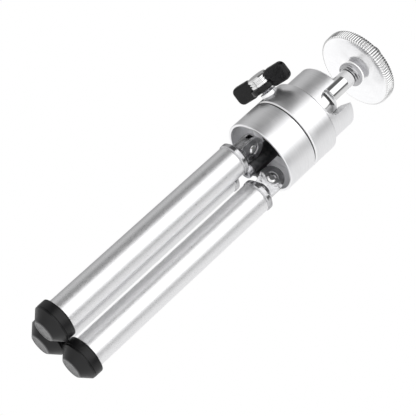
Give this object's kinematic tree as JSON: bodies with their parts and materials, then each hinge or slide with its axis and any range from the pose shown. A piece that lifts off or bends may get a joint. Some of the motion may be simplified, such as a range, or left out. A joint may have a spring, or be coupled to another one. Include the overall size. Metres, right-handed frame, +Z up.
{
  "type": "mini tabletop tripod",
  "caption": "Folded pocket tripod: telescoping metal legs with black rubber feet, hinged in a cup under a slotted ball head with a side wing screw and a knurled camera wheel.",
  "frame": {"origin": "on the tripod axis, in the plane of the three flat foot ends", "axes": "+Z up the tripod axis to the camera screw, -Y out of the slot of the ball head, -X along the wing screw"},
  "size_m": [0.0344, 0.0275, 0.1456],
  "materials": {
    "satin_aluminium": "satin, fine turned grain",
    "polished_chrome": "polished",
    "steel": "bright zinc",
    "brass": "turned",
    "nylon": "moulded, black",
    "gloss_black": "gloss",
    "black_rubber": "matte with a lighter worn end",
    "pad_rubber": "matte"
  },
  "bodies": {
    "base": {"cup": "satin_aluminium", "housing": "satin_aluminium", "base_plug": "steel", "spider": "steel", "spider_washer": "steel", "spider_screw": "steel", "pivot_pins": "polished_chrome"},
    "seat": {"ball_seat": "nylon"},
    "wedge": {"lock_wedge": "brass"},
    "wing": {"wing_screw": "steel", "knob_hub": "polished_chrome", "wing_knob": "gloss_black"},
    "ball": {"ball": "polished_chrome"},
    "stem": {"stem": "polished_chrome"},
    "screw": {"lock_collar": "polished_chrome", "camera_screw": "polished_chrome"},
    "pad": {"camera_pad": "pad_rubber"},
    "wheel": {"lock_wheel": "polished_chrome"},
    "leg1": {"leg1_cap": "polished_chrome", "leg1_outer_tube": "satin_aluminium", "leg1_outer_bushing": "nylon"},
    "leg1_middle": {"leg1_middle_tube": "satin_aluminium", "leg1_middle_guide": "nylon", "leg1_middle_bushing": "nylon"},
    "leg1_inner": {"leg1_inner_tube": "satin_aluminium", "leg1_inner_guide": "nylon", "leg1_foot_plug": "nylon", "leg1_foot": "black_rubber"},
    "leg2": {"leg2_cap": "polished_chrome", "leg2_outer_tube": "satin_aluminium", "leg2_outer_bushing": "nylon"},
    "leg2_middle": {"leg2_middle_tube": "satin_aluminium", "leg2_middle_guide": "nylon", "leg2_middle_bushing": "nylon"},
    "leg2_inner": {"leg2_inner_tube": "satin_aluminium", "leg2_inner_guide": "nylon", "leg2_foot_plug": "nylon", "leg2_foot": "black_rubber"},
    "leg3": {"leg3_cap": "polished_chrome", "leg3_outer_tube": "satin_aluminium", "leg3_outer_bushing": "nylon"},
    "leg3_middle": {"leg3_middle_tube": "satin_aluminium", "leg3_middle_guide": "nylon", "leg3_middle_bushing": "nylon"},
    "leg3_inner": {"leg3_inner_tube": "satin_aluminium", "leg3_inner_guide": "nylon", "leg3_foot_plug": "nylon", "leg3_foot": "black_rubber"}
  },
  "joints": [
    {"name": "leg1_fold", "type": "hinge", "parent": "base", "child": "leg1", "pos_m": [0.00686, -0.0025, 0.086], "axis": [-0.342, -0.9397, 0], "range_deg": [0, 55]},
    {"name": "leg1_middle_slide", "type": "slide", "parent": "leg1", "child": "leg1_middle", "axis": [0, 0, -1], "range_m": [0, 0.0555]},
    {"name": "leg1_inner_slide", "type": "slide", "parent": "leg1_middle", "child": "leg1_inner", "axis": [0, 0, -1], "range_m": [0, 0.053]},
    {"name": "leg2_fold", "type": "hinge", "parent": "base", "child": "leg2", "pos_m": [-0.00127, 0.00719, 0.086], "axis": [0.9848, 0.1736, 0], "range_deg": [0, 55]},
    {"name": "leg2_middle_slide", "type": "slide", "parent": "leg2", "child": "leg2_middle", "axis": [0, 0, -1], "range_m": [0, 0.0555]},
    {"name": "leg2_inner_slide", "type": "slide", "parent": "leg2_middle", "child": "leg2_inner", "axis": [0, 0, -1], "range_m": [0, 0.053]},
    {"name": "leg3_fold", "type": "hinge", "parent": "base", "child": "leg3", "pos_m": [-0.00559, -0.00469, 0.086], "axis": [-0.6428, 0.766, 0], "range_deg": [0, 55]},
    {"name": "leg3_middle_slide", "type": "slide", "parent": "leg3", "child": "leg3_middle", "axis": [0, 0, -1], "range_m": [0, 0.0555]},
    {"name": "leg3_inner_slide", "type": "slide", "parent": "leg3_middle", "child": "leg3_inner", "axis": [0, 0, -1], "range_m": [0, 0.053]},
    {"name": "wedge_slide", "type": "slide", "parent": "base", "child": "wedge", "axis": [1, 0, 0], "range_m": [-0.0007, 0]},
    {"name": "wing_turn", "type": "hinge", "parent": "wedge", "child": "wing", "pos_m": [0, 0, 0.1049], "axis": [1, 0, 0], "range_deg": [-360, 0]},
    {"name": "seat_lift", "type": "slide", "parent": "base", "child": "seat", "axis": [0, 0, 1], "range_m": [-0.0007, 0]},
    {"name": "head_side_tilt", "type": "hinge", "parent": "base", "child": "ball", "pos_m": [0, 0, 0.1153], "axis": [0, 1, 0], "range_deg": [-11, 11]},
    {"name": "head_tilt", "type": "hinge", "parent": "ball", "child": "stem", "pos_m": [0, 0, 0.1153], "axis": [1, 0, 0], "range_deg": [-15.5, 92.5]},
    {"name": "head_pan", "type": "hinge", "parent": "stem", "child": "screw", "pos_m": [0, 0, 0.1153], "axis": [0, 0.0436, 0.999], "continuous": true},
    {"name": "pad_rise", "type": "slide", "parent": "screw", "child": "pad", "axis": [0, 0.0436, 0.999], "range_m": [0, 0.00254]},
    {"name": "wheel_turn", "type": "hinge", "parent": "pad", "child": "wheel", "pos_m": [0, 0, 0.1153], "axis": [0, 0.0436, 0.999], "range_deg": [0, 720]}
  ],
  "couplings": [
    {"joint": "wing_turn", "follows": "wedge_slide", "rad_per_m": 8975.9},
    {"joint": "seat_lift", "follows": "wedge_slide", "ratio": 1},
    {"joint": "wheel_turn", "follows": "pad_rise", "rad_per_m": 4947.3}
  ]
}
